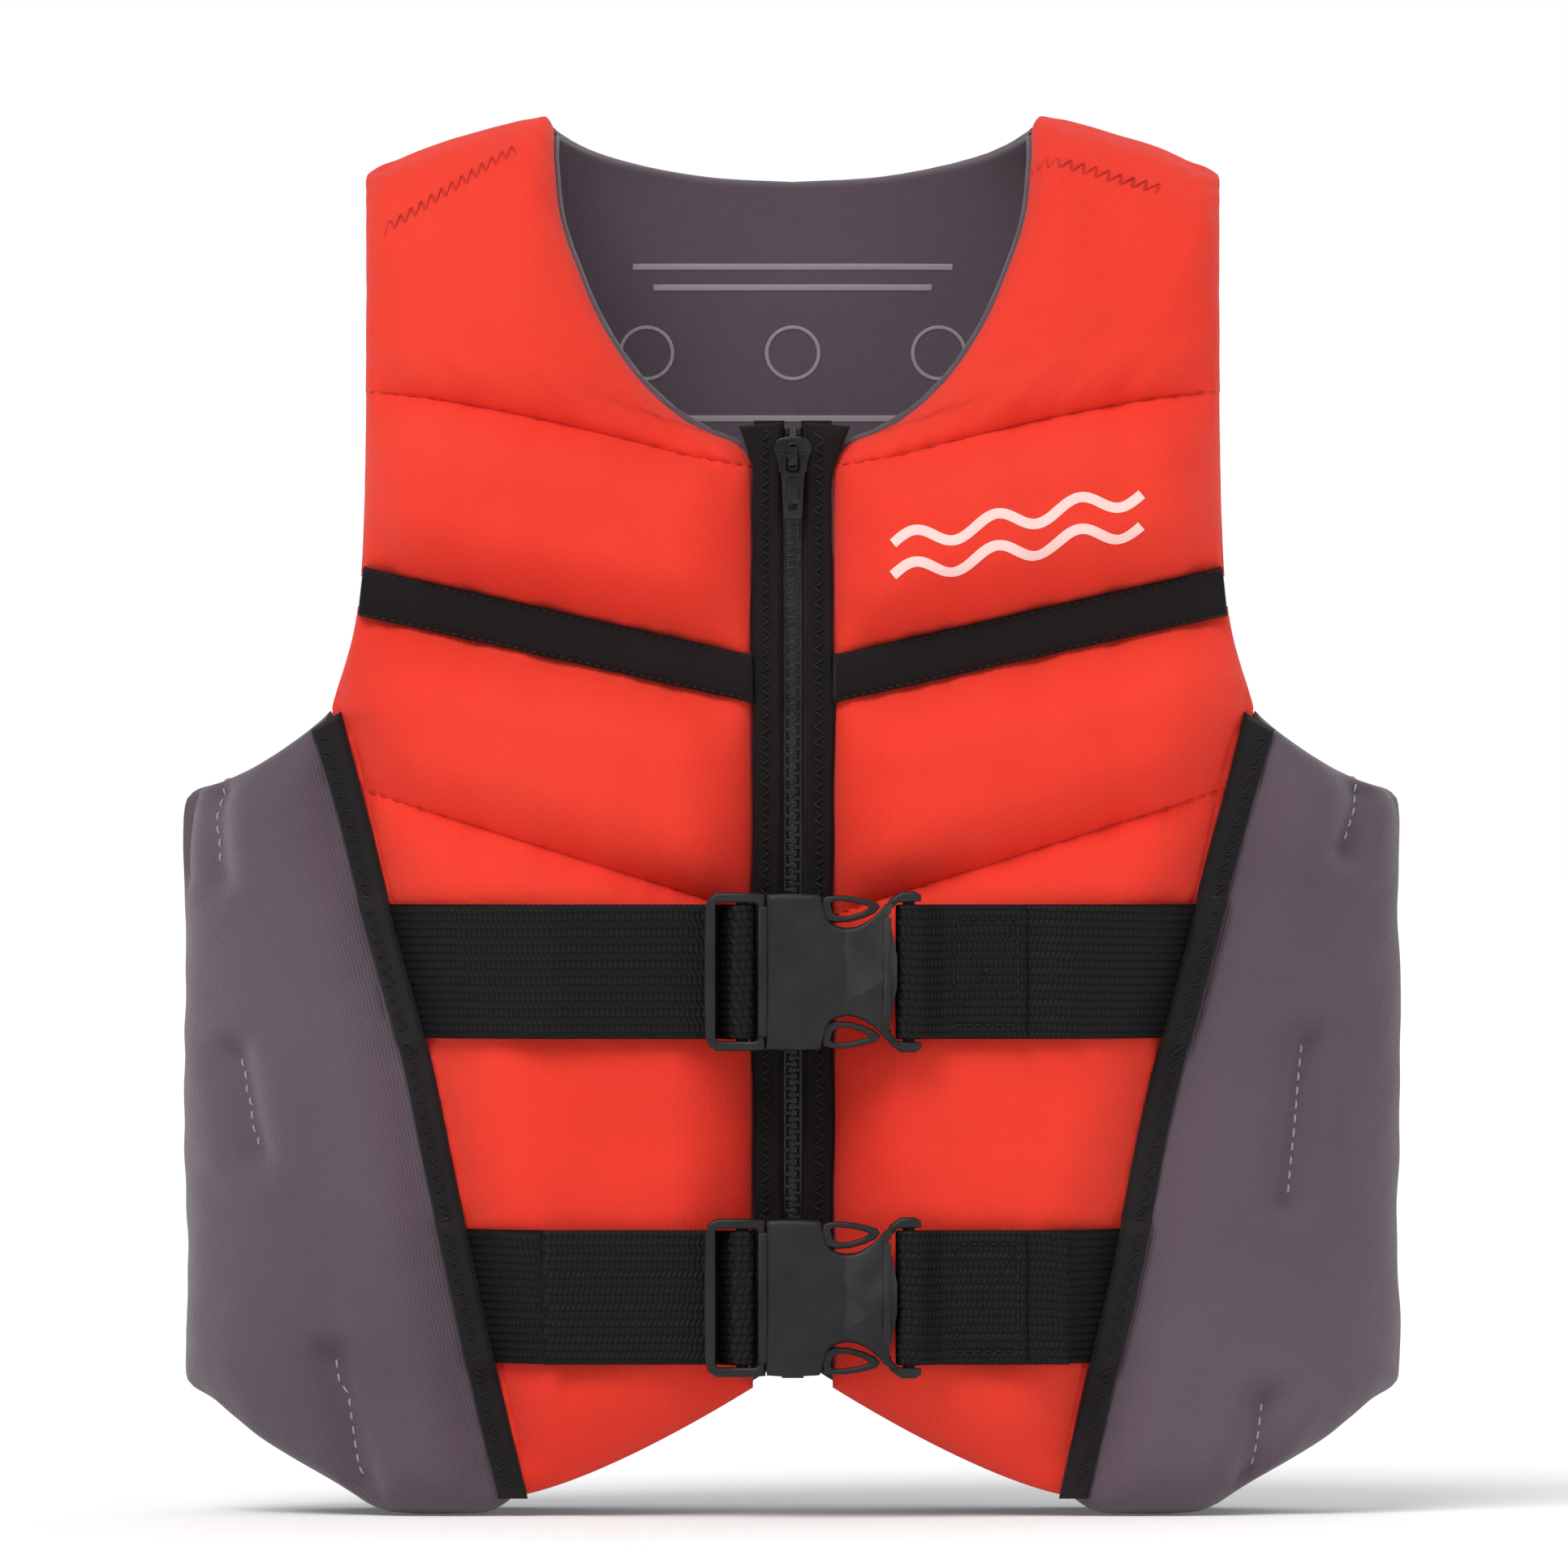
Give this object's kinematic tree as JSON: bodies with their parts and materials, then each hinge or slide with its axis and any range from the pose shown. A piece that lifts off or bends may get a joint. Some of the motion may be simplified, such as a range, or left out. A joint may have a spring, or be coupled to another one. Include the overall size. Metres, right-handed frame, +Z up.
{
  "type": "life jacket",
  "caption": "Sleeveless padded flotation vest for a child, closed by a front zip and side-release buckles on webbing straps, for wear in and near water.",
  "frame": {"origin": "on the floor the hem stands on, under the middle of the bounding box", "axes": "+Z up from the hem to the shoulders, -Y out of the front with the zip, +X towards the wearer's left"},
  "size_m": [0.3456, 0.1323, 0.3977],
  "materials": {
    "red_neoprene": "matt knitted neoprene, bright orange-red",
    "grey_neoprene": "matt knitted neoprene, mauve grey",
    "black_neoprene": "thin black neoprene with zigzag stitching",
    "foam": "closed-cell flotation foam, off-white",
    "webbing": "woven black polyester webbing",
    "buckle_plastic": "black moulded acetal with a fine sand texture",
    "zip_plastic": "black moulded acetal",
    "zip_tape": "black woven polyester tape"
  },
  "bodies": {
    "vest": {"right_lower_shell": "red_neoprene", "right_chest_band": "black_neoprene", "right_upper_shell": "red_neoprene", "right_belly_foam": "foam", "right_rib_foam": "foam", "right_chest_foam": "foam", "right_yoke_foam": "foam", "right_front_lining": "grey_neoprene", "right_side_shell": "grey_neoprene", "right_side_front_foam": "foam", "right_side_back_foam": "foam", "right_side_lining": "grey_neoprene", "right_front_side_trim": "black_neoprene", "right_back_side_trim": "black_neoprene", "right_zip_facing": "black_neoprene", "right_zip_tape": "zip_tape", "right_zip_teeth": "zip_plastic", "right_top_stop": "zip_plastic", "left_lower_shell": "red_neoprene", "left_chest_band": "black_neoprene", "left_upper_shell": "red_neoprene", "left_belly_foam": "foam", "left_rib_foam": "foam", "left_chest_foam": "foam", "left_yoke_foam": "foam", "left_front_lining": "grey_neoprene", "left_side_shell": "grey_neoprene", "left_side_front_foam": "foam", "left_side_back_foam": "foam", "left_side_lining": "grey_neoprene", "left_front_side_trim": "black_neoprene", "left_back_side_trim": "black_neoprene", "left_zip_facing": "black_neoprene", "left_zip_tape": "zip_tape", "left_zip_teeth": "zip_plastic", "left_top_stop": "zip_plastic", "back_shell": "red_neoprene", "back_lining": "grey_neoprene", "back_lower_foam": "foam", "back_middle_foam": "foam", "back_upper_foam": "foam", "retainer_box": "zip_plastic", "insertion_pin": "zip_plastic", "right_upper_webbing": "webbing", "left_upper_webbing": "webbing", "upper_buckle_socket": "buckle_plastic", "right_lower_webbing": "webbing", "left_lower_webbing": "webbing", "lower_buckle_socket": "buckle_plastic"},
    "zip_slider": {"zip_slider": "zip_plastic"},
    "pull_tab": {"pull_tab": "zip_plastic"},
    "upper_plug": {"upper_buckle_plug": "buckle_plastic"},
    "upper_top_prong": {"upper_buckle_top_prong": "buckle_plastic"},
    "upper_bottom_prong": {"upper_buckle_bottom_prong": "buckle_plastic"},
    "lower_plug": {"lower_buckle_plug": "buckle_plastic"},
    "lower_top_prong": {"lower_buckle_top_prong": "buckle_plastic"},
    "lower_bottom_prong": {"lower_buckle_bottom_prong": "buckle_plastic"}
  },
  "joints": [
    {"name": "zip slider", "type": "slide", "parent": "vest", "child": "zip_slider", "axis": [0, 0, -1], "range_m": [0, 0.248], "deforming": ["right_zip_teeth", "left_zip_teeth"]},
    {"name": "pull tab", "type": "hinge", "parent": "zip_slider", "child": "pull_tab", "pos_m": [0, -0.0367, 0.2998], "axis": [-1, 0, 0], "range_deg": [0, 170]},
    {"name": "upper plug", "type": "slide", "parent": "vest", "child": "upper_plug", "axis": [-1, 0, 0], "range_m": [0, 0.034], "deforming": ["right_upper_webbing", "upper_buckle_top_prong", "upper_buckle_bottom_prong"]},
    {"name": "upper top prong", "type": "hinge", "parent": "upper_plug", "child": "upper_top_prong", "pos_m": [-0.001, -0.06115, 0.1705], "axis": [0, 1, 0], "range_deg": [0, 9], "stiffness_Nm_per_rad": 0.2},
    {"name": "upper bottom prong", "type": "hinge", "parent": "upper_plug", "child": "upper_bottom_prong", "pos_m": [-0.001, -0.06115, 0.1375], "axis": [0, -1, 0], "range_deg": [0, 9], "stiffness_Nm_per_rad": 0.2},
    {"name": "lower plug", "type": "slide", "parent": "vest", "child": "lower_plug", "axis": [-1, 0, 0], "range_m": [0, 0.034], "deforming": ["right_lower_webbing", "lower_buckle_top_prong", "lower_buckle_bottom_prong"]},
    {"name": "lower top prong", "type": "hinge", "parent": "lower_plug", "child": "lower_top_prong", "pos_m": [-0.001, -0.06115, 0.0785], "axis": [0, 1, 0], "range_deg": [0, 9], "stiffness_Nm_per_rad": 0.2},
    {"name": "lower bottom prong", "type": "hinge", "parent": "lower_plug", "child": "lower_bottom_prong", "pos_m": [-0.001, -0.06115, 0.0455], "axis": [0, -1, 0], "range_deg": [0, 9], "stiffness_Nm_per_rad": 0.2}
  ],
  "couplings": [
    {"joint": "upper bottom prong", "follows": "upper top prong", "ratio": 1},
    {"joint": "lower bottom prong", "follows": "lower top prong", "ratio": 1}
  ]
}
